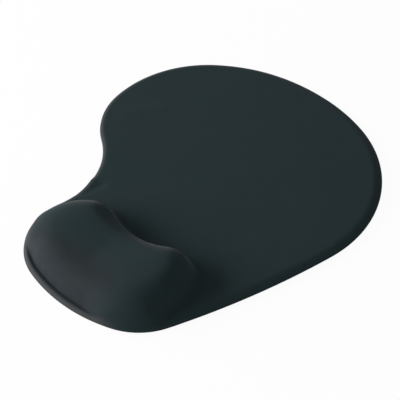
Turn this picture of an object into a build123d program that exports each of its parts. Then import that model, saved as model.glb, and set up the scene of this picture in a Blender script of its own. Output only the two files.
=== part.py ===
from build123d import *
import math
import os

# A mouse pad with a gel wrist rest, laid up from flat sheets: a rubber base, a foam board, a
# foam bolster that carries the gel, and a knit cover drawn over all of it.
# Millimetres. +Y runs from the wrist to the far edge, +X to the right, +Z up from the desk.
# The outline is laid out in its own drawing frame; every piece is then shifted so that the
# origin is the middle of the outline's box, on the desk.

# ---- outline seen from above: round lobes, joined by tangent sweeps ----
left_wrist_x = -25.0
left_wrist_y = -71.0
left_wrist_radius = 38.0
right_wrist_x = 12.0
right_wrist_radius = 43.0
mouse_lobe_x = 11.5
mouse_lobe_y = 36.5
mouse_lobe_radius = 80.5
far_lobe_x = -23.5
far_lobe_y = 37.5
far_lobe_radius = 74.0
left_lobe_radius = 46.0
left_lobe_bearing = 184.0  # degrees from +X, where the left lobe touches the far lobe
front_sweep = 100.0
right_sweep = 520.0
far_sweep = 113.0
notch_sweep = 50.0  # the hollow in the left side, behind the wrist lobe

# ---- layers, from the desk up ----
base_thickness = 1.2
base_inset = 1.5  # the base stops short of the rolled edge
base_film = 0.15
board_body = 3.15  # from under the rolled hem to the top of the cover
edge_fall_width = 6.0  # the pad thins out towards its edge
edge_fall = 1.4
cover_thickness = 0.7
cover_bottom_bevel = 0.8
hem_width = 4.0  # cover turned under the board's edge
cover_film = 0.15

# ---- wrist rest: a kidney-shaped dome ----
rim = 4.5  # least distance from the outline to the foot of the dome
left_end_shift = (-2.0, -1.5)  # middle of the dome's left end from that of the wrist lobe
right_end_shift = (-1.0, -2.5)
left_hump_radius = 19.0
left_hump_bearing = 118.0  # degrees from +X, where the left hump touches the left end
right_hump_radius = 20.0
right_hump_bearing = 26.0
waist_sweep = 44.0  # the hollow between the humps, on the mouse's side
wall_draft = 28.0  # degrees from upright
peak_height = 16.5  # above the top of the pad
hump_crown_radius = 60.0  # of the crown's line over each hump, seen from the front
saddle_crown_radius = 60.0  # of its hollow between the humps
crown_tilt = 4.0  # degrees, down towards the palm
crown_radius = 16.0  # round the edge of the crown
bevel_share = 0.65  # of the crown's round, cut by the one bevel inside the cover

# ---- inside the wrist rest ----
bolster_height = 4.0
gel_film = 0.3

base_top = base_thickness
body_bottom = base_top + base_film
pad_top = body_bottom + board_body
board_top = pad_top - cover_thickness - cover_film
bolster_top = pad_top + bolster_height
gel_bottom = bolster_top + gel_film

LEFT_WRIST = (Vector(left_wrist_x, left_wrist_y), left_wrist_radius)
# Both wrist lobes come equally far forward.
RIGHT_WRIST = (
    Vector(right_wrist_x, left_wrist_y - left_wrist_radius + right_wrist_radius),
    right_wrist_radius,
)
MOUSE_LOBE = (Vector(mouse_lobe_x, mouse_lobe_y), mouse_lobe_radius)
FAR_LOBE = (Vector(far_lobe_x, far_lobe_y), far_lobe_radius)


def tucked(lobe, radius, bearing):
    """A smaller lobe that touches another from inside, so that one runs on into the other."""
    centre, outer_radius = lobe
    return centre + Vector(outer_radius - radius, 0).rotate(Axis.Z, bearing), radius


LEFT_LOBE = tucked(FAR_LOBE, left_lobe_radius, left_lobe_bearing)
# Each line is a lobe and the sweep after it, counter-clockwise: its radius, and whether it bulges.
# Where there is no sweep, the two lobes touch.
OUTLINE = [
    (LEFT_WRIST, front_sweep, True),
    (RIGHT_WRIST, right_sweep, True),
    (MOUSE_LOBE, far_sweep, True),
    (FAR_LOBE, None, True),
    (LEFT_LOBE, notch_sweep, False),
]


def dome_end(lobe, shift):
    """An end of the dome, inside a wrist lobe by at least the rim."""
    centre, radius = lobe
    shift = Vector(*shift)
    return centre + shift, radius - rim - shift.length


LEFT_END = dome_end(LEFT_WRIST, left_end_shift)
RIGHT_END = dome_end(RIGHT_WRIST, right_end_shift)
LEFT_HUMP = tucked(LEFT_END, left_hump_radius, left_hump_bearing)
RIGHT_HUMP = tucked(RIGHT_END, right_hump_radius, right_hump_bearing)
DOME = [
    (LEFT_END, front_sweep - rim, True),
    (RIGHT_END, None, True),
    (RIGHT_HUMP, waist_sweep, False),
    (LEFT_HUMP, None, True),
]


def sweep_centre(lobe, following, radius, bulges):
    """Centre of the arc of a radius that is tangent to two lobes."""
    (start, start_radius), (end, end_radius) = lobe, following
    side = -1 if bulges else 1
    from_start = radius + side * start_radius
    from_end = radius + side * end_radius
    span = end - start
    along = (from_start**2 - from_end**2 + span.length**2) / (2 * span.length)
    across = math.sqrt(from_start**2 - along**2)
    left = Vector(-span.Y, span.X).normalized()
    return start + span.normalized() * along - left * across * side


def arc(centre, radius, start, end, side):
    """The arc from start to end that bulges to the given side of its chord, 1 for right."""
    chord = end - start
    out = Vector(chord.Y, -chord.X).normalized() * side
    return ThreePointArc(start, centre + out * radius, end)


def plan(loop, inset=0.0):
    """The closed face of a loop of lobes and sweeps, with its edge moved inwards."""
    lobes = [(lobe[0], lobe[1] - inset) for lobe, radius, bulges in loop]
    touches = []
    sweeps = []
    for number, (lobe, radius, bulges) in enumerate(loop):
        this, following = lobes[number], lobes[(number + 1) % len(loop)]
        if radius is None:
            smaller, larger = sorted((this, following), key=lambda lobe: lobe[1])
            touch = smaller[0] + (smaller[0] - larger[0]).normalized() * smaller[1]
            touches.append((touch, touch))
            sweeps.append(None)
            continue
        radius = radius - inset if bulges else radius + inset
        centre = sweep_centre(this, following, radius, bulges)
        side = 1 if bulges else -1
        touches.append(
            tuple(c + (c - centre).normalized() * side * r for c, r in (this, following))
        )
        sweeps.append((centre, radius, side))
    edges = []
    for number, (leave, arrive) in enumerate(touches):
        centre, radius = lobes[number]
        edges.append(arc(centre, radius, touches[number - 1][1], leave, 1))
        if sweeps[number]:
            centre, radius, side = sweeps[number]
            edges.append(arc(centre, radius, leave, arrive, side))
    return make_face(Curve(edges))


def prism(loop, inset, bottom, top):
    """A straight block under a loop, between two heights."""
    return Pos(0, 0, bottom) * extrude(plan(loop, inset), top - bottom)


def pad_block(inset):
    """The flat pad, thinned towards its edge, in by the inset on every side."""
    shoulder = pad_top - inset - edge_fall
    slope = math.degrees(math.atan2(edge_fall_width, edge_fall))
    roll = Pos(0, 0, shoulder) * extrude(plan(OUTLINE, inset), edge_fall, taper=slope)
    return prism(OUTLINE, inset, body_bottom + inset, shoulder) + roll


def foot_inset(inset, depth):
    """How far in the drafted wall lies, at a depth under the pad top of the outermost form."""
    draft = math.radians(wall_draft)
    return inset / math.cos(draft) - depth * math.tan(draft)


def crown_blank(inset):
    """A block whose top is the dome's crown: a hump at either end and the saddle between them."""
    box = plan(DOME).bounding_box()
    left, right = box.min.X - crown_radius, box.max.X + crown_radius
    humps = [
        (Vector(x, peak_height - hump_crown_radius), hump_crown_radius - inset)
        for x in (RIGHT_HUMP[0].X, LEFT_HUMP[0].X)
    ]
    hollow = saddle_crown_radius + inset
    saddle = sweep_centre(*humps, hollow, False)
    touches = [saddle + (centre - saddle).normalized() * hollow for centre, radius in humps]
    ends = [
        centre + Vector(x - centre.X, math.sqrt(radius**2 - (x - centre.X) ** 2))
        for x, (centre, radius) in zip((right, left), humps)
    ]
    crown = [
        arc(*humps[0], ends[0], touches[0], 1),
        arc(saddle, hollow, touches[0], touches[1], -1),
        arc(*humps[1], touches[1], ends[1], 1),
    ]
    sides = Polyline(ends[1], Vector(left, -peak_height), Vector(right, -peak_height), ends[0])
    profile = make_face(Curve([*crown, *sides.edges()]))
    middle = (box.min.Y + box.max.Y) / 2
    place = Pos(0, middle, pad_top) * Rot(90 + crown_tilt, 0, 0)
    return place * extrude(profile, box.size.Y, both=True)


def dome_block(inset):
    """The raised wrist rest alone, with a sharp edge round its crown."""
    height = peak_height + crown_radius / 4
    depth = inset + edge_fall
    walls = extrude(plan(DOME, foot_inset(inset, depth)), depth + height, taper=wall_draft)
    return Pos(0, 0, pad_top - depth) * walls & crown_blank(inset)


def crown_edges(block):
    """The edge all round the crown, which is neither straight nor an arc of the foot."""
    plain = (GeomType.LINE, GeomType.CIRCLE)
    return [edge for edge in block.edges() if edge.geom_type not in plain]


def outer_form():
    """Pad and dome as seen from outside."""
    pad = pad_block(0)
    pad = chamfer(pad.edges().group_by(Axis.Z)[0], cover_bottom_bevel)
    return pad + fillet(crown_edges(dome_block(0)), crown_radius)


def inner_form(inset):
    """What the cover is drawn over: square edges, and one bevel in place of the crown's round."""
    block = dome_block(inset)
    reach = (crown_radius - inset) / math.tan(math.radians(90 + wall_draft) / 2)
    return pad_block(inset) + chamfer(crown_edges(block), bevel_share * reach)


def between(body, bottom, top):
    """The part of a body between two heights."""
    return body & prism(OUTLINE, -rim, bottom, top)


skin_inside = inner_form(cover_thickness)
above_all = pad_top + 2 * peak_height
hem_window = prism(OUTLINE, hem_width, body_bottom, body_bottom + cover_thickness)
bolster_foot = foot_inset(cover_thickness, cover_thickness)
bolster_column = prism(DOME, bolster_foot, body_bottom, above_all)


def knit_cover():
    """One skin over pad and dome, rolled round the edge and turned under as a hem."""
    return outer_form() - skin_inside - hem_window


def cover_bond_film():
    """Glue on the flat of the board, under the cover and round the foot of the dome."""
    edge = cover_thickness + edge_fall_width
    return prism(OUTLINE, edge, board_top, pad_top - cover_thickness) - bolster_column


def foam_board():
    """The sheet inside the cover, let down inside the hem, with a window for the bolster."""
    sheet = between(skin_inside, body_bottom, pad_top - cover_thickness) + hem_window
    return sheet - bolster_column - cover_bond_film()


def foam_bolster():
    """The block that lifts the gel, let through the board down to the base."""
    return (between(skin_inside, body_bottom, bolster_top) + hem_window) & bolster_column


def gel_base_film():
    """The film that closes the gel from below."""
    return between(skin_inside, bolster_top, gel_bottom)


def gel_core():
    """The gel, cast against the film on the back of the cover."""
    return between(skin_inside, gel_bottom, above_all)


def base_bond_film():
    """Glue between board and base."""
    return prism(OUTLINE, base_inset, base_top, body_bottom)


def nonslip_base():
    """The rubber sheet on the desk."""
    return prism(OUTLINE, base_inset, 0, base_top)


pieces = [
    knit_cover,
    cover_bond_film,
    foam_board,
    foam_bolster,
    gel_base_film,
    gel_core,
    base_bond_film,
    nonslip_base,
]

middle = plan(OUTLINE).bounding_box().center()
os.makedirs("parts", exist_ok=True)
for piece in pieces:
    export_step(Pos(-middle.X, -middle.Y, 0) * piece(), f"parts/{piece.__name__}.step")
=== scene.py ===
"""A mouse pad with a gel wrist rest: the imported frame, dressed in a knit cover."""

import math

import bpy
import bmesh
import numpy as np
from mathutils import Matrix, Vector, geometry, noise
from mathutils.bvhtree import BVHTree
from mathutils.kdtree import KDTree


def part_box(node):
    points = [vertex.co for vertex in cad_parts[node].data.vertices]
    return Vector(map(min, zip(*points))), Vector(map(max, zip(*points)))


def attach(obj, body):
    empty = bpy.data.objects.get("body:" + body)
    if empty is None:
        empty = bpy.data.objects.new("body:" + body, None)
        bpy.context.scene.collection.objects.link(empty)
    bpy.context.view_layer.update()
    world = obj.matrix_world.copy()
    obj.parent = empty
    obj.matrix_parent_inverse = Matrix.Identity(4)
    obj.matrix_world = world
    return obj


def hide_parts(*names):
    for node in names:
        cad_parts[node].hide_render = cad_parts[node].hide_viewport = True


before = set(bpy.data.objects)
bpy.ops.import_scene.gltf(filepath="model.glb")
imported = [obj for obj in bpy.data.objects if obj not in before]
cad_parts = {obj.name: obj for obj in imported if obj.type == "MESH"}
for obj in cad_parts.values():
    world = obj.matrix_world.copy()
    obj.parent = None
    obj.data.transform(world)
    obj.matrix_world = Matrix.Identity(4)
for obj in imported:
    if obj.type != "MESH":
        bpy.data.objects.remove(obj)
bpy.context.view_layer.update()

MM = 0.001

# ---- camera: degrees, metres, and mm for lens and sensor ----
VIEW_AZIMUTH = 40.17
VIEW_ELEVATION = 48.0
VIEW_DISTANCE = 0.9
VIEW_AIM = (0.00298, -0.00241, 0.0)
LENS = 133.29
SENSOR_WIDTH = 36

# ---- lights and floor, in metres and watts ----
LAMP_RIGHT, LAMP_AWAY, LAMP_UP = -1.08, 0.05, 0.4  # from the part, as the camera sees it
LAMP_SIZE = (1.0, 0.45)
LAMP_POWER = 19.4
WORLD_STRENGTH = 0.4
FLOOR_SIZE = 6
FLOOR_GAP = 0.3  # mm below the base
FLOOR_GLOW = 0.95  # share of the floor's look that is plain white; the rest takes the shadow

# ---- colours, as linear red, green and blue ----
FLOOR_WHITE = (0.9, 0.9, 0.9)
KNIT = (0.0146, 0.0296, 0.0324)
KNIT_CLOUD = (0.018, 0.029, 0.0338)
KNIT_LINT = (0.05, 0.058, 0.06)
# painted sheen: the greyer tone of the lit front of the rest
KNIT_PAINTED_SHEEN = (0.0182, 0.0232, 0.0266)
# painted highlight: lighter knit along the bead and the lit left edge
KNIT_PAINTED_HIGHLIGHT = (0.05, 0.052, 0.056)
RUBBER = (0.012, 0.0125, 0.013)
DUST = (0.045, 0.043, 0.04)
BOARD_FOAM = (0.05, 0.052, 0.055)
BOLSTER_FOAM = (0.16, 0.16, 0.17)
GEL = (0.16, 0.3, 0.42)
GEL_DEPTHS = (0.1, 0.24, 0.38)
BUBBLE = (0.5, 0.6, 0.66)
GEL_FILM = (0.32, 0.36, 0.4)
BOND_FILM = (0.09, 0.085, 0.07)

# ---- textures ----
WALE, COURSE = 0.9, 0.7  # mm between the knit's columns and rows of loops
LINT_FROM = 0.72  # of the noise
PAINTED_SHADE_FROM = 0.93  # of the way from lying flat to standing upright, from which the side takes painted shade
GRIP_PITCH = 2.4  # mm, under the base
BUBBLE_CELL = 3.0  # mm of gel to a bubble
BUBBLE_RADIUS = 0.12  # of the cell
YARN_STRETCH = (1, 0.35, 1)  # draws the noise out along Y
RIPPLE_STRETCH = (1, 0.25, 1)

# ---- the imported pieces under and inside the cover, in mm like all that follows ----
BASE_INSET = 1.5  # from the outline to the base's edge
BASE_FILM = 0.15
PAD_BODY = 3.15  # board, film and cover, from the base's film up
COVER_OVER_FOOT = 0.42  # from the foot of the dome in to the bolster's edge
CLEAR = 0.15  # least cover over any piece inside
CLEAR_REACH = 0.8  # how far to the side that counts, on the dome
RAY_START = 99  # over the desk, above every piece

# ---- the points of the cover ----
COLUMNS = 640  # round the edge
FOOT_COLUMNS = 480  # round the dome's foot, which is only measured from
RING_STEP = 0.25  # between rings at the edge, which grows by RING_GROWTH a ring
RING_GROWTH = 0.02
RINGS_WIDTH = 9.0
GRID = 1.25  # spacing of the points further in
GRID_GAP = 0.6  # of the spacing, at least, between them and the last ring
ROW_RATIO = math.sqrt(0.75)  # of the spacing, between rows of equal triangles
FIELD_STEP = 1.5  # of the grid that holds the dome
FIELD_MARGIN = 2  # steps beyond the field's ends

# ---- the cover's edge ----
HEM_WIDTH = 4.0
SIDE_ROUND = 0.75  # radius where the cover turns from the top to the side and under
SIDE_STEPS = 5
FALL_SLOPE = 0.42  # of the top next to its edge
FALL_EVEN = 0.45  # of the fall's width, on which it slopes evenly
FALL_WIDTHS = (3.4, 6.6)  # at the left and at the right
FALL_ACROSS = (-50.0, 10.0)  # along X, from one width to the other
SWELL = 0.12  # of the flat part, up and down
SWELL_LENGTH = 28.0
SWELL_EDGE = 7.0  # in from the edge, where it is full

# ---- the bead round the palm's left: the cover is pressed down beside it ----
BEAD_TOP = 4.4  # above the desk
BEAD_EDGE = 1.5  # above the desk, at the very edge
BEAD_CREST = 2.5  # in from the edge
GROOVE_HEIGHT = 3.7
GROOVE_INSET = 5.4
GROOVE_RUN_OUT = 10.0
GROOVE_TUCK = 0.5  # by which the dome's foot steps in for it
BEAD_FADES = (15.0, 36.0)  # along X, at the palm
BEAD_ENDS = (-104.0, -95.0)  # along Y, at the left

# ---- the dome: two humps and the saddle between them ----
PEAK = 16.6
SADDLE = 14.7
LEFT_HUMP_X = -34.0
RIGHT_HUMP_X = 27.0
END_FALL = 3.0  # the crown's fall from a hump to END_REACH beyond it
END_REACH = 25.0
CROWN_TILT = math.tan(math.radians(4.0))
CROWN_MIDDLE_Y = -76.5
CROWN_HALF = 40.0  # before and behind the middle, where the crown's fall and tilt end
FRONT_FALL = 1.2  # at FRONT_REACH before the middle, besides the tilt
FRONT_REACH = 28.0
SHOULDER = 1.15  # of the crown's height: from the foot to where the dome is level with it
SHOULDER_POWER = 2.5
SHOULDER_BELOW = -0.4  # of the shoulder's reach, on which its slope runs on outside the foot
FULL_SHOULDER = 0.9  # where the padding stands full, at the left
FULL_SHARE = 0.8
FULL_X = (0.0, -35.0)
FULL_Y = (-62.0, -84.0)
FOOT_BLEND = 3.0
GROOVE_BLEND = 1.8

# ---- at the palm's right and at the left the dome runs out to the edge ----
RUN_OUT = 4.5
RIGHT_RUN_OUT_X = (2.0, 24.0)
RIGHT_RUN_OUT_Y = (-82.0, -96.0)
LEFT_RUN_OUT_X = (-36.0, -48.0)
LEFT_RUN_OUT_Y = (-104.0, -94.0)
LEFT_SHARE = 0.65  # of the run-out, at the left
NOTCH_SHARE = 0.35  # and at the notch behind it
NOTCH_Y = (-84.0, -66.0)  # from one share to the other

# ---- creases, each from one place to another, with its width and height ----
CREASES = (
    ((-60.0, -51.5), (-57.0, -36.0), 2.7, 1.3),
    ((-53.0, -50.0), (-48.0, -34.0), 2.6, -0.5),
    ((-79.0, 21.0), (-64.0, 40.0), 5.0, 0.3),
    ((52.0, -8.0), (60.0, -5.0), 4.5, 0.25),
)

# ---- the cloth that finds its shape over the dome ----
CLOTH_STEP = 2.5
CLOTH_MARGIN = 6.0
CLOTH_FREE = 5.0  # in from the foot, where it is wholly free
CLOTH_MASS = 0.02
CLOTH_PRESSURE = 4.0
CLOTH_STIFFNESS = 15.0
CLOTH_BENDING = 10.0
CLOTH_FRAMES = 20
CLOTH_CAP = 1.2  # the furthest that a point may move

# ---- painted light: a painted highlight on the bead and the left edge, and painted sheen, greyer, on the front of the rest ----
PAINTED_HIGHLIGHT_INSET = (0.8, 2.8)  # from the full painted highlight to none
PAINTED_HIGHLIGHT_X = (-10.0, -45.0)  # from no painted highlight to the full one, where there is no bead
PAINTED_SHEEN_X = (34.0, 6.0)  # from no painted sheen to the full one
PAINTED_SHEEN_Y = (-76.0, -98.0)

# ---- for Blender's own tools ----
SAME_PLACE = 1e-6  # points nearer than this, in their mesh's own unit, count as one
SAME_HEIGHT = 1e-5  # metres
INSIDE_TRIANGLES = 1  # delaunay_2d_cdt gives the triangles within the rim
MIX_SHARE, MIX_FROM, MIX_TO = 0, 6, 7  # a colour Mix node's inputs
MIX_RESULT = 2  # and its output


# ---- curves and fields over the plan ----
def edge_loop(node):
    """The outline of a node's lowest flat face, in order, as an array of x and y in mm."""
    mesh = bmesh.new()
    mesh.from_mesh(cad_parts[node].data)
    bmesh.ops.remove_doubles(mesh, verts=mesh.verts, dist=SAME_PLACE)
    low = min(vertex.co.z for vertex in mesh.verts) + SAME_HEIGHT
    flat = [face for face in mesh.faces if all(vertex.co.z < low for vertex in face.verts)]
    lowest = set(flat)
    follows = {}
    for face in flat:
        for corner in face.loops:
            if not lowest.issuperset(corner.edge.link_faces):
                follows[corner.vert] = corner.link_loop_next.vert
    start = vertex = next(iter(follows))
    points = []
    while not points or vertex is not start:
        points.append(vertex.co.xy / MM)
        vertex = follows[vertex]
    mesh.free()
    # A face seen from below runs clockwise from above.
    return np.array(points)[::-1]


def smooth_loop(points, count):
    """Evenly spaced points on the closed curve through the given ones, and its outward normals."""
    before, after = np.roll(points, 1, 0), np.roll(points, -1, 0)
    chord = np.linalg.norm(after - points, axis=1)
    back = np.roll(chord, 1)
    tangent = ((points - before) / back[:, None] * chord[:, None]
               + (after - points) / chord[:, None] * back[:, None]) / (chord + back)[:, None]
    length = np.concatenate([[0], np.cumsum(chord)])
    at = np.linspace(0, length[-1], count, endpoint=False)
    span = np.clip(np.searchsorted(length, at, side="right") - 1, 0, len(points) - 1)
    t = ((at - length[span]) / chord[span])[:, None]
    step = chord[span][:, None]
    a, b = points[span], after[span]
    ta, tb = tangent[span] * step, np.roll(tangent, -1, 0)[span] * step
    curve = ((2 * t**3 - 3 * t**2 + 1) * a + (t**3 - 2 * t**2 + t) * ta
             + (3 * t**2 - 2 * t**3) * b + (t**3 - t**2) * tb)
    run = np.roll(curve, -1, 0) - np.roll(curve, 1, 0)
    normal = np.stack([run[:, 1], -run[:, 0]], 1)
    return curve, normal / np.linalg.norm(normal, axis=1)[:, None]


class Loop:
    """A closed curve in plan, which tells how far inside it a point lies."""

    def __init__(self, node, outset, count):
        curve, normal = smooth_loop(edge_loop(node), count)
        self.points = curve + normal * outset
        self.normals = normal
        self.tree = KDTree(count)
        for number, point in enumerate(self.points):
            self.tree.insert((*point, 0), number)
        self.tree.balance()

    def inset(self, distance):
        """The curve's points, moved in by a distance."""
        return self.points - self.normals * distance

    def depth(self, places):
        """How far in from the curve each place lies; less than 0 is outside."""
        nearest = [self.tree.find((x, y, 0))[1] for x, y in places]
        offset = self.points[nearest] - places
        return np.einsum("ij,ij->i", offset, self.normals[nearest])


def square_grid(low, step, columns, rows):
    """The places of a grid, column after column."""
    x, y = np.meshgrid(np.arange(columns), np.arange(rows), indexing="ij")
    return low + step * np.column_stack([x.ravel(), y.ravel()])


class Field:
    """A smooth field over the plan: a cubic B-spline over a square grid of values."""

    def __init__(self, low, high, step, values):
        self.low = np.array(low) - FIELD_MARGIN * step
        self.step = step
        span = np.ceil((np.array(high) - self.low) / step).astype(int)
        columns, rows = span + FIELD_MARGIN + 1
        places = square_grid(self.low, step, columns, rows)
        self.values = values(places).reshape(columns, rows)

    def at(self, places):
        """The field's value at each place."""
        cell = (places - self.low) / self.step
        first = np.floor(cell).astype(int)
        t = cell - first
        weights = [(1 - t) ** 3 / 6, (3 * t**3 - 6 * t**2 + 4) / 6,
                   (-3 * t**3 + 3 * t**2 + 3 * t + 1) / 6, t**3 / 6]
        total = np.zeros(len(places))
        for i, across in enumerate(weights):
            for j, along in enumerate(weights):
                value = self.values[first[:, 0] + i - 1, first[:, 1] + j - 1]
                total += across[:, 0] * along[:, 1] * value
        return total


def smooth_step(value, start, end):
    """0 up to the start and 1 from the end on, which may be the lower of the two."""
    t = np.clip((value - start) / (end - start), 0, 1)
    return t * t * (3 - 2 * t)


def smooth_most(a, b, width):
    """The larger of two, with a round of the given width where they cross."""
    mix = np.clip(0.5 + 0.5 * (b - a) / width, 0, 1)
    return a * (1 - mix) + b * mix + width * mix * (1 - mix)


outline = Loop("base_bond_film", BASE_INSET, COLUMNS)
dome_foot = Loop("foam_bolster", COVER_OVER_FOOT, FOOT_COLUMNS)
pad_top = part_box("nonslip_base")[1].z / MM + BASE_FILM + PAD_BODY
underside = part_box("knit_cover")[0].z / MM


# ---- room for the pieces inside ----
def inner_pieces():
    """All the pieces inside the cover, as one tree for casting rays."""
    nodes = ("foam_board", "cover_bond_film", "foam_bolster", "gel_base_film", "gel_core")
    vertices, faces = [], []
    for node in nodes:
        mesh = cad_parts[node].data
        first = len(vertices)
        vertices += [vertex.co / MM for vertex in mesh.vertices]
        faces += [[first + index for index in face.vertices] for face in mesh.polygons]
    return BVHTree.FromPolygons(vertices, faces)


inside_tree = inner_pieces()


def least_height(places):
    """The lowest that the cover may lie over each place."""
    down = Vector((0, 0, -1))
    heights = []
    for x, y in places:
        hit = inside_tree.ray_cast(Vector((x, y, RAY_START)), down)[0]
        heights.append(hit.z + CLEAR if hit else underside)
    return np.array(heights)


def least_near(places, reach):
    """The lowest that the cover may lie over each place and round it."""
    heights = least_height(places)
    for step in ((reach, 0), (-reach, 0), (0, reach), (0, -reach)):
        heights = np.maximum(heights, least_height(places + step))
    return heights


# ---- the cover's height over the desk ----
def crown_height(x, y):
    """Height of the dome's crown over the top of the pad."""
    middle = (LEFT_HUMP_X + RIGHT_HUMP_X) / 2
    half = (RIGHT_HUMP_X - LEFT_HUMP_X) / 2
    aside = np.abs(x - middle)
    swing = np.cos(np.pi * np.minimum(aside / half, 1))
    saddle = (PEAK + SADDLE) / 2 - (PEAK - SADDLE) / 2 * swing
    beyond = np.clip(aside - half, 0, END_REACH) / END_REACH
    before = np.clip(CROWN_MIDDLE_Y - y, 0, CROWN_HALF) / FRONT_REACH
    tilt = np.minimum(y - CROWN_MIDDLE_Y, CROWN_HALF) * CROWN_TILT
    return saddle - END_FALL * beyond**2 - FRONT_FALL * before**2 + tilt


def run_out(x, y):
    """Up to 1 where the dome runs out to the edge, at the palm's right and at the left."""
    right = smooth_step(x, *RIGHT_RUN_OUT_X) * smooth_step(y, *RIGHT_RUN_OUT_Y)
    left = smooth_step(x, *LEFT_RUN_OUT_X) * smooth_step(y, *LEFT_RUN_OUT_Y)
    left *= LEFT_SHARE - (LEFT_SHARE - NOTCH_SHARE) * smooth_step(y, *NOTCH_Y)
    return np.maximum(right, left)


def bead_share(x, y):
    """1 round the palm's left, where the edge is a bead with a groove inside it."""
    return (1 - smooth_step(x, *BEAD_FADES)) * (1 - smooth_step(y, *BEAD_ENDS))


def dome_height(places):
    """Height of the dome alone, which goes on sloping down outside its foot."""
    x, y = places.T
    crown = crown_height(x, y)
    fill = RUN_OUT * run_out(x, y) - GROOVE_TUCK * bead_share(x, y)
    depth = dome_foot.depth(places) + fill
    reach = depth / (SHOULDER * crown + fill)
    slack = 1 - (1 - np.clip(reach, 0, 1)) ** SHOULDER_POWER
    full = np.sqrt(1 - (1 - np.clip(depth / (FULL_SHOULDER * crown + fill), 0, 1)) ** 2)
    share = FULL_SHARE * smooth_step(x, *FULL_X) * smooth_step(y, *FULL_Y)
    rise = slack + (full - slack) * share
    height = pad_top + crown * (rise + SHOULDER_POWER * np.clip(reach, SHOULDER_BELOW, 0))
    on_dome = depth > 0
    height[on_dome] = np.maximum(height[on_dome], least_near(places[on_dome], CLEAR_REACH))
    return height


dome = Field(outline.points.min(0), outline.points.max(0), FIELD_STEP, dome_height)


def edge_fall(x, inside):
    """How far the top has fallen towards its edge: evenly next to it, after a round."""
    width = FALL_WIDTHS[0] + (FALL_WIDTHS[1] - FALL_WIDTHS[0]) * smooth_step(x, *FALL_ACROSS)
    even = FALL_EVEN * width
    curved = np.clip(width - inside, 0, width - even)
    return FALL_SLOPE * (curved**2 / (2 * (width - even)) + np.clip(even - inside, 0, even))


def crease_height(places):
    """The height that the creases add, and take."""
    total = np.zeros(len(places))
    for start, end, width, height in CREASES:
        start, along = np.array(start), np.subtract(end, start)
        share = np.clip((places - start) @ along / (along @ along), 0, 1)
        aside = np.linalg.norm(places - start - share[:, None] * along, axis=1)
        total += height * np.exp(-((aside / width) ** 2))
    return total


def flat_height(places, inside):
    """Height of the flat part, which swells a little and has a few creases."""
    swell = np.array([noise.noise((x / SWELL_LENGTH, y / SWELL_LENGTH, 0)) for x, y in places])
    rise = SWELL * swell * smooth_step(inside, 0, SWELL_EDGE)
    return pad_top + rise + crease_height(places)


def bead_height(inside):
    """Height of the bead along the palm's edge and of the groove inside it."""
    outer = 1 - (1 - np.clip(inside / BEAD_CREST, 0, 1)) ** 2
    inner = smooth_step(inside, BEAD_CREST, GROOVE_INSET)
    beyond = smooth_step(inside, GROOVE_INSET, GROOVE_RUN_OUT)
    return (BEAD_EDGE + (BEAD_TOP - BEAD_EDGE) * outer - (BEAD_TOP - GROOVE_HEIGHT) * inner
            + (pad_top - GROOVE_HEIGHT) * beyond)


def cover_height(places):
    """Height of the outside of the cover over each place."""
    x, y = places.T
    inside = outline.depth(places)
    raised = dome.at(places)
    share = bead_share(x, y)
    plain = smooth_most(flat_height(places, inside), raised, FOOT_BLEND) - edge_fall(x, inside)
    beaded = smooth_most(bead_height(inside), raised, GROOVE_BLEND)
    height = plain + (beaded - plain) * share
    nose = np.clip(inside / SIDE_ROUND, 0, 1)
    height -= SIDE_ROUND * (1 - np.sqrt(1 - (1 - nose) ** 2))
    return np.maximum(height, least_height(places))


# ---- the cloth over the dome ----
def settle(points, faces, hold):
    """Lets a net of points, in metres, go as cloth under pressure, and gives where they end."""
    scene = bpy.context.scene
    mesh = bpy.data.meshes.new("cloth")
    mesh.from_pydata(points.tolist(), [], faces)
    piece = bpy.data.objects.new("cloth", mesh)
    scene.collection.objects.link(piece)
    held = piece.vertex_groups.new(name="held")
    for number, weight in enumerate(hold):
        held.add([number], float(weight), "REPLACE")
    settings = piece.modifiers.new("cloth", "CLOTH").settings
    settings.vertex_group_mass = "held"
    settings.mass = CLOTH_MASS
    settings.use_pressure = True
    settings.uniform_pressure_force = CLOTH_PRESSURE
    settings.effector_weights.gravity = 0
    settings.tension_stiffness = settings.compression_stiffness = CLOTH_STIFFNESS
    settings.bending_stiffness = CLOTH_BENDING
    for frame_number in range(1, CLOTH_FRAMES + 1):
        scene.frame_set(frame_number)
    settled = piece.evaluated_get(bpy.context.evaluated_depsgraph_get()).to_mesh()
    ends = np.array([vertex.co for vertex in settled.vertices])
    scene.frame_set(1)
    bpy.data.objects.remove(piece)
    return ends


class Cloth:
    """How far the cover over the dome moves when it is let go as cloth."""

    def __init__(self):
        self.low = dome_foot.points.min(0) - CLOTH_MARGIN
        self.high = dome_foot.points.max(0) + CLOTH_MARGIN
        columns, rows = np.ceil((self.high - self.low) / CLOTH_STEP).astype(int) + 1
        places = square_grid(self.low, CLOTH_STEP, columns, rows)
        start = np.column_stack([places, cover_height(places)]) * MM
        faces = [(a * rows + b, (a + 1) * rows + b, (a + 1) * rows + b + 1, a * rows + b + 1)
                 for a in range(columns - 1) for b in range(rows - 1)]
        hold = 1 - smooth_step(dome_foot.depth(places), 0, CLOTH_FREE)
        moved = (settle(start, faces, hold) - start) / MM
        length = np.linalg.norm(moved, axis=1)
        moved *= (CLOTH_CAP / np.maximum(length, CLOTH_CAP))[:, None]
        within = (slice(FIELD_MARGIN, FIELD_MARGIN + columns),
                  slice(FIELD_MARGIN, FIELD_MARGIN + rows))
        self.fields = []
        for axis in range(3):
            field = Field(self.low, self.high, CLOTH_STEP, lambda at: np.zeros(len(at)))
            field.values[within] = moved[:, axis].reshape(columns, rows)
            self.fields.append(field)

    def moves(self, places):
        """The moves of the cover's points at the given places."""
        found = np.zeros((len(places), 3))
        near = np.all((places > self.low) & (places < self.high), axis=1)
        for axis, field in enumerate(self.fields):
            found[near, axis] = field.at(places[near])
        return found


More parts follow.
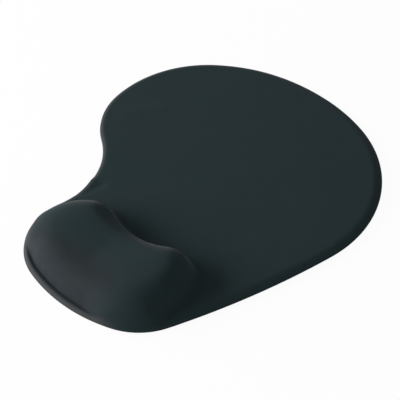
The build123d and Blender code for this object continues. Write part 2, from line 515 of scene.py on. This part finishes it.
# ---- the cover's mesh: rings from the hem round the edge to the top, and a grid within them ----
def side_profile():
    """Inset and height of each ring of the hem and of the side's lower round."""
    profile = [(HEM_WIDTH, underside), (HEM_WIDTH / 2, underside)]
    for step in range(SIDE_STEPS + 1):
        angle = math.radians(90 * step / SIDE_STEPS)
        inset = SIDE_ROUND * (1 - math.sin(angle))
        profile.append((inset, underside + SIDE_ROUND * (1 - math.cos(angle))))
    return profile


def top_insets():
    """Insets of the rings on top, which grow apart from the edge inwards."""
    insets = [0.0]
    while insets[-1] < RINGS_WIDTH:
        insets.append(insets[-1] + RING_STEP + RING_GROWTH * len(insets))
    return insets[1:]


def inner_places(inset):
    """The corners of equal triangles over the plan, further in than the last ring's inset."""
    low, high = outline.points.min(0), outline.points.max(0)
    rows = []
    for row in range(int((high[1] - low[1]) / (GRID * ROW_RATIO))):
        x = np.arange(low[0] + GRID / 2 * (row % 2), high[0], GRID)
        rows.append(np.column_stack([x, np.full(len(x), low[1] + row * GRID * ROW_RATIO)]))
    places = np.concatenate(rows)
    return places[outline.depth(places) > inset + GRID * GRID_GAP]


def ring_faces(rings):
    """The squares between each of so many rings and the next."""
    faces = []
    for first in range(0, (rings - 1) * COLUMNS, COLUMNS):
        for column in range(COLUMNS):
            following = (column + 1) % COLUMNS
            faces.append((first + column, first + following,
                          first + COLUMNS + following, first + COLUMNS + column))
    return faces


def inner_faces(points, first):
    """Triangles over the points from the first one of the last ring on."""
    plan = [Vector(point[:2]) for point in points[first:]]
    rim = [(column, (column + 1) % COLUMNS) for column in range(COLUMNS)]
    filled = geometry.delaunay_2d_cdt(plan, rim, [], INSIDE_TRIANGLES, SAME_PLACE)
    triangles, sources = filled[2:4]
    return [tuple(first + sources[index][0] for index in face) for face in triangles]


def painted_highlight_share(insets):
    """How much painted highlight each ring, of the given inset, takes at each of its points."""
    edge = outline.points
    along = np.maximum(bead_share(*edge.T), smooth_step(edge[:, 0], *PAINTED_HIGHLIGHT_X))
    return (1 - smooth_step(np.array(insets), *PAINTED_HIGHLIGHT_INSET))[:, None] * along


def painted_sheen_share(points):
    """How much painted sheen, greyer, the cover takes at each point."""
    x, y = points[:, :2].T
    return smooth_step(x, *PAINTED_SHEEN_X) * smooth_step(y, *PAINTED_SHEEN_Y)


def cover_mesh():
    """The cover: a hem under the pad, the rolled edge, and the top over pad and dome."""
    profile, insets = side_profile(), top_insets()
    rings = [np.column_stack([outline.inset(inset), np.full(COLUMNS, height)])
             for inset, height in profile]
    for inset in insets:
        plan = outline.inset(inset)
        rings.append(np.column_stack([plan, cover_height(plan)]))
    places = inner_places(insets[-1])
    inner = np.column_stack([places, cover_height(places)])
    cloth = Cloth()
    rings = [ring + cloth.moves(ring[:, :2]) for ring in rings]
    inner += cloth.moves(inner[:, :2])
    inner[:, 2] = np.maximum(inner[:, 2], least_height(inner[:, :2]))
    points = np.concatenate([*rings, inner])
    faces = ring_faces(len(rings)) + inner_faces(points, (len(rings) - 1) * COLUMNS)
    mesh = bpy.data.meshes.new("knit_cover")
    mesh.from_pydata([Vector(point) * MM for point in points], [], faces)
    mesh.update()
    # Hem and side take the painted highlight as the edge does, and nothing further in than the
    # rings does.
    painted_highlight = painted_highlight_share([0.0] * len(profile) + insets).ravel()
    painted_highlight = np.concatenate([painted_highlight, np.zeros(len(inner))])
    for name, share in (("painted_highlight", painted_highlight), ("painted_sheen", painted_sheen_share(points))):
        mesh.attributes.new(name, "FLOAT", "POINT").data.foreach_set("value", share)
    for face in mesh.polygons:
        face.use_smooth = True
    cover = bpy.data.objects.new("fitted_cover", mesh)
    bpy.context.scene.collection.objects.link(cover)
    return cover


# ---- materials ----
class Finish:
    """A material whose colour, roughness and bump come from nodes over the object's own places."""

    def __init__(self, name, colour, roughness, specular):
        self.material = bpy.data.materials.new(name)
        self.material.use_nodes = True
        tree = self.material.node_tree
        self.nodes, self.links = tree.nodes, tree.links
        self.shader = self.nodes["Principled BSDF"]
        self.shader.inputs["Base Color"].default_value = (*colour, 1)
        self.shader.inputs["Roughness"].default_value = roughness
        self.shader.inputs["Specular IOR Level"].default_value = specular
        self.colour, self.roughness = colour, roughness
        self.places = self.nodes.new("ShaderNodeTexCoord").outputs["Object"]

    def math(self, operation, *values):
        """The result of an operation on numbers and on other nodes' results."""
        node = self.nodes.new("ShaderNodeMath")
        node.operation = operation
        for socket, value in zip(node.inputs, values):
            if isinstance(value, (int, float)):
                socket.default_value = value
            else:
                self.links.new(value, socket)
        return node.outputs[0]

    def noise(self, length, detail, stretch=(1, 1, 1)):
        """Noise with features of the given length in mm, mostly between 0.3 and 0.7."""
        scaled = self.nodes.new("ShaderNodeMapping")
        scaled.inputs["Scale"].default_value = [axis / (length * MM) for axis in stretch]
        self.links.new(self.places, scaled.inputs["Vector"])
        node = self.nodes.new("ShaderNodeTexNoise")
        node.inputs["Scale"].default_value = 1.0
        node.inputs["Detail"].default_value = detail
        self.links.new(scaled.outputs[0], node.inputs["Vector"])
        return node.outputs[0]

    def cells(self, length):
        """Distance from the middles of cells of the given size in mm."""
        node = self.nodes.new("ShaderNodeTexVoronoi")
        node.inputs["Scale"].default_value = 1 / (length * MM)
        self.links.new(self.places, node.inputs["Vector"])
        return node.outputs["Distance"]

    def attribute(self, name):
        """A share that the mesh's points carry."""
        node = self.nodes.new("ShaderNodeAttribute")
        node.attribute_name = name
        return node.outputs["Fac"]

    def waves(self, axis, length, shift=0.0):
        """A sine along an axis, 0 to 1, once every given length in mm."""
        split = self.nodes.new("ShaderNodeSeparateXYZ")
        self.links.new(self.places, split.inputs[0])
        turns = self.math("MULTIPLY", split.outputs[axis], 2 * math.pi / (length * MM))
        wave = self.math("SINE", self.math("ADD", turns, shift))
        return self.math("MULTIPLY_ADD", wave, 0.5, 0.5)

    def lattice(self, across, along, shift=0.0):
        """Bumps, 0 to 1, once every given length in mm along X and along Y."""
        return self.math("MULTIPLY", self.waves("X", across, shift), self.waves("Y", along, shift))

    def paint(self, other, share, most, start=0.0):
        """Mixes towards another colour by the start plus the most times a share; calls add up."""
        amount = self.math("MULTIPLY_ADD", share, most, start)
        node = self.nodes.new("ShaderNodeMix")
        node.data_type = "RGBA"
        colour = self.shader.inputs["Base Color"]
        if colour.is_linked:
            self.links.new(colour.links[0].from_socket, node.inputs[MIX_FROM])
        else:
            node.inputs[MIX_FROM].default_value = (*self.colour, 1)
        node.inputs[MIX_TO].default_value = (*other, 1)
        self.links.new(amount, node.inputs[MIX_SHARE])
        self.links.new(node.outputs[MIX_RESULT], colour)

    def dull(self, share, swing):
        """Lets the roughness swing with a share whose middle is 0.5."""
        level = self.math("MULTIPLY_ADD", share, swing, self.roughness - swing / 2)
        self.links.new(level, self.shader.inputs["Roughness"])

    def bump(self, height, distance, strength):
        """Raises the surface by the height, with the distance in mm; calls add up."""
        node = self.nodes.new("ShaderNodeBump")
        node.inputs["Distance"].default_value = distance * MM
        node.inputs["Strength"].default_value = strength
        self.links.new(height, node.inputs["Height"])
        normal = self.shader.inputs["Normal"]
        if normal.is_linked:
            self.links.new(normal.links[0].from_socket, node.inputs["Normal"])
        self.links.new(node.outputs[0], normal)


def shade(colour, factor):
    """The colour times a factor."""
    return tuple(channel * factor for channel in colour)


def wear(piece, finish):
    """Gives a piece the one material."""
    piece.data.materials.clear()
    piece.data.materials.append(finish.material)


def knit_fabric():
    """A fine warp knit with heathered yarns, lint and soft cloudiness.

    It has painted shade on the upright side, painted sheen, greyer, on the front of the rest, and
    a painted highlight, lighter, at the edge.
    """
    made = Finish("knit_fabric", KNIT, roughness=0.85, specular=0.15)
    made.shader.inputs["Sheen Weight"].default_value = 0.08
    made.shader.inputs["Sheen Roughness"].default_value = 0.4
    made.paint(KNIT_CLOUD, made.noise(45, detail=1.0), most=0.9, start=-0.2)
    made.paint(shade(KNIT, 0.5), made.noise(0.45, detail=3.0, stretch=YARN_STRETCH), most=0.35)
    lint = made.math("GREATER_THAN", made.noise(1.6, detail=4.0), LINT_FROM)
    made.paint(KNIT_LINT, lint, most=0.5)
    surface = made.nodes.new("ShaderNodeNewGeometry")
    split = made.nodes.new("ShaderNodeSeparateXYZ")
    made.links.new(surface.outputs["Normal"], split.inputs[0])
    upright = made.math("SUBTRACT", 1.0, made.math("ABSOLUTE", split.outputs["Z"]))
    # painted shade: the upright side is painted darker
    made.paint(shade(KNIT, 0.3), made.math("GREATER_THAN", upright, PAINTED_SHADE_FROM), most=0.5)
    # painted sheen: greyer knit on the lit front of the rest
    made.paint(KNIT_PAINTED_SHEEN, made.attribute("painted_sheen"), most=0.9)
    # painted highlight: lighter knit along the bead and the left edge
    made.paint(KNIT_PAINTED_HIGHLIGHT, made.attribute("painted_highlight"), most=0.9)
    made.dull(made.noise(6, detail=2.0), swing=0.16)
    loops = made.lattice(WALE, COURSE)
    offset = made.lattice(WALE, COURSE, shift=math.pi)
    made.bump(made.math("MAXIMUM", loops, offset), distance=0.05, strength=0.5)
    made.bump(made.noise(0.6, detail=3.0), distance=0.05, strength=0.4)
    made.bump(made.noise(14, detail=1.0), distance=0.25, strength=0.5)
    return made


def base_rubber():
    """Moulded natural rubber: a raised grip lattice, with dust in its hollows."""
    made = Finish("base_rubber", RUBBER, roughness=0.62, specular=0.35)
    grip = made.lattice(GRIP_PITCH, GRIP_PITCH)
    made.paint(DUST, made.math("SUBTRACT", 1.0, grip), most=0.2)
    made.paint(shade(RUBBER, 0.6), made.noise(18, detail=3.0), most=0.3)
    made.dull(made.noise(9, detail=3.0), swing=0.25)
    made.bump(grip, distance=0.35, strength=0.7)
    made.bump(made.noise(0.8, detail=3.0), distance=0.04, strength=0.5)
    return made


def foam(name, colour, pore):
    """Open-cell foam, with pores of a size in mm, painted shade in the pores, and a yellowed
    cloudiness.
    """
    made = Finish(name, colour, roughness=0.95, specular=0.1)
    red, green, blue = colour
    made.paint((red, green * 0.9, blue * 0.7), made.noise(22, detail=2.0), most=0.5)
    cells = made.cells(pore)
    # painted shade: darker in the pores, where the bump is lowest
    made.paint(shade(colour, 0.45), made.math("SUBTRACT", 1.0, cells), most=0.35)
    made.dull(made.noise(5, detail=2.0), swing=0.08)
    made.bump(cells, distance=0.25, strength=0.8)
    return made


def film(name, colour, roughness):
    """A thin bonded film: slightly glossy, with the ripples of its lamination."""
    made = Finish(name, colour, roughness, specular=0.5)
    made.paint(shade(colour, 0.7), made.noise(12, detail=2.0), most=0.4)
    made.dull(made.noise(7, detail=3.0), swing=0.2)
    made.bump(made.noise(4, detail=2.0, stretch=RIPPLE_STRETCH), distance=0.1, strength=0.5)
    return made


def gel():
    """Clear blue-grey silicone gel with small bubbles."""
    made = Finish("gel", GEL, roughness=0.18, specular=0.5)
    made.shader.inputs["Transmission Weight"].default_value = 0.5
    made.shader.inputs["IOR"].default_value = 1.41
    made.paint(GEL_DEPTHS, made.noise(15, detail=2.0), most=0.6)
    made.paint(BUBBLE, made.math("LESS_THAN", made.cells(BUBBLE_CELL), BUBBLE_RADIUS), most=0.6)
    made.dull(made.noise(8, detail=2.0), swing=0.12)
    made.bump(made.noise(10, detail=1.0), distance=0.4, strength=0.4)
    return made


# ---- stage, lights and camera ----
def make_stage():
    """A floor that is white to look at and takes the object's shadow."""
    bpy.ops.mesh.primitive_plane_add(size=FLOOR_SIZE, location=(0, 0, -FLOOR_GAP * MM))
    floor = bpy.context.object
    floor.name = "floor"
    made = Finish("white_floor", FLOOR_WHITE, roughness=0.9, specular=0.1)
    path = made.nodes.new("ShaderNodeLightPath")
    seen = made.math("MAXIMUM", path.outputs["Is Camera Ray"], path.outputs["Is Glossy Ray"])
    seen = made.math("MAXIMUM", seen, path.outputs["Is Transmission Ray"])
    glow = made.nodes.new("ShaderNodeEmission")
    glow.inputs["Strength"].default_value = 1.0
    mix = made.nodes.new("ShaderNodeMixShader")
    share, shaded, plain = mix.inputs
    made.links.new(made.math("MULTIPLY", seen, FLOOR_GLOW), share)
    made.links.new(made.shader.outputs[0], shaded)
    made.links.new(glow.outputs[0], plain)
    made.links.new(mix.outputs[0], made.nodes["Material Output"].inputs["Surface"])
    wear(floor, made)


def make_lights():
    """A softbox at the left, and an even white surround."""
    azimuth = math.radians(VIEW_AZIMUTH)
    right = Vector((math.cos(azimuth), math.sin(azimuth), 0))
    away = Vector((-math.sin(azimuth), math.cos(azimuth), 0))
    spot = right * LAMP_RIGHT + away * LAMP_AWAY + Vector((0, 0, LAMP_UP))
    light = bpy.data.lights.new("softbox", "AREA")
    light.shape = "RECTANGLE"
    light.size, light.size_y = LAMP_SIZE
    light.energy = LAMP_POWER
    lamp = bpy.data.objects.new("softbox", light)
    bpy.context.scene.collection.objects.link(lamp)
    lamp.location = spot
    lamp.rotation_euler = spot.to_track_quat("Z", "Y").to_euler()
    world = bpy.data.worlds.new("studio")
    bpy.context.scene.world = world
    world.use_nodes = True
    background = world.node_tree.nodes["Background"]
    background.inputs["Color"].default_value = (1, 1, 1, 1)
    background.inputs["Strength"].default_value = WORLD_STRENGTH


def make_camera():
    """The camera, which looks at the part from the front right and above."""
    azimuth, elevation = math.radians(VIEW_AZIMUTH), math.radians(VIEW_ELEVATION)
    back = Vector((
        math.sin(azimuth) * math.cos(elevation),
        -math.cos(azimuth) * math.cos(elevation),
        math.sin(elevation),
    ))
    camera = bpy.data.objects.new("camera", bpy.data.cameras.new("camera"))
    bpy.context.scene.collection.objects.link(camera)
    camera.data.sensor_width = SENSOR_WIDTH
    camera.data.lens = LENS
    camera.location = Vector(VIEW_AIM) + back * VIEW_DISTANCE
    camera.rotation_euler = back.to_track_quat("Z", "Y").to_euler()
    bpy.context.scene.camera = camera


make_camera()
make_lights()
make_stage()
bpy.context.scene.view_settings.view_transform = "Standard"

cover = cover_mesh()
fabric = knit_fabric()
wear(cover, fabric)
wear(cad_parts["knit_cover"], fabric)
wear(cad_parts["nonslip_base"], base_rubber())
wear(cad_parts["foam_board"], foam("board_foam", BOARD_FOAM, pore=0.9))
wear(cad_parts["foam_bolster"], foam("bolster_foam", BOLSTER_FOAM, pore=1.3))
wear(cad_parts["gel_core"], gel())
wear(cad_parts["gel_base_film"], film("gel_film", GEL_FILM, roughness=0.35))
bond = film("bond_film", BOND_FILM, roughness=0.4)
wear(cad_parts["cover_bond_film"], bond)
wear(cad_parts["base_bond_film"], bond)
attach(cover, "root")
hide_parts("knit_cover")
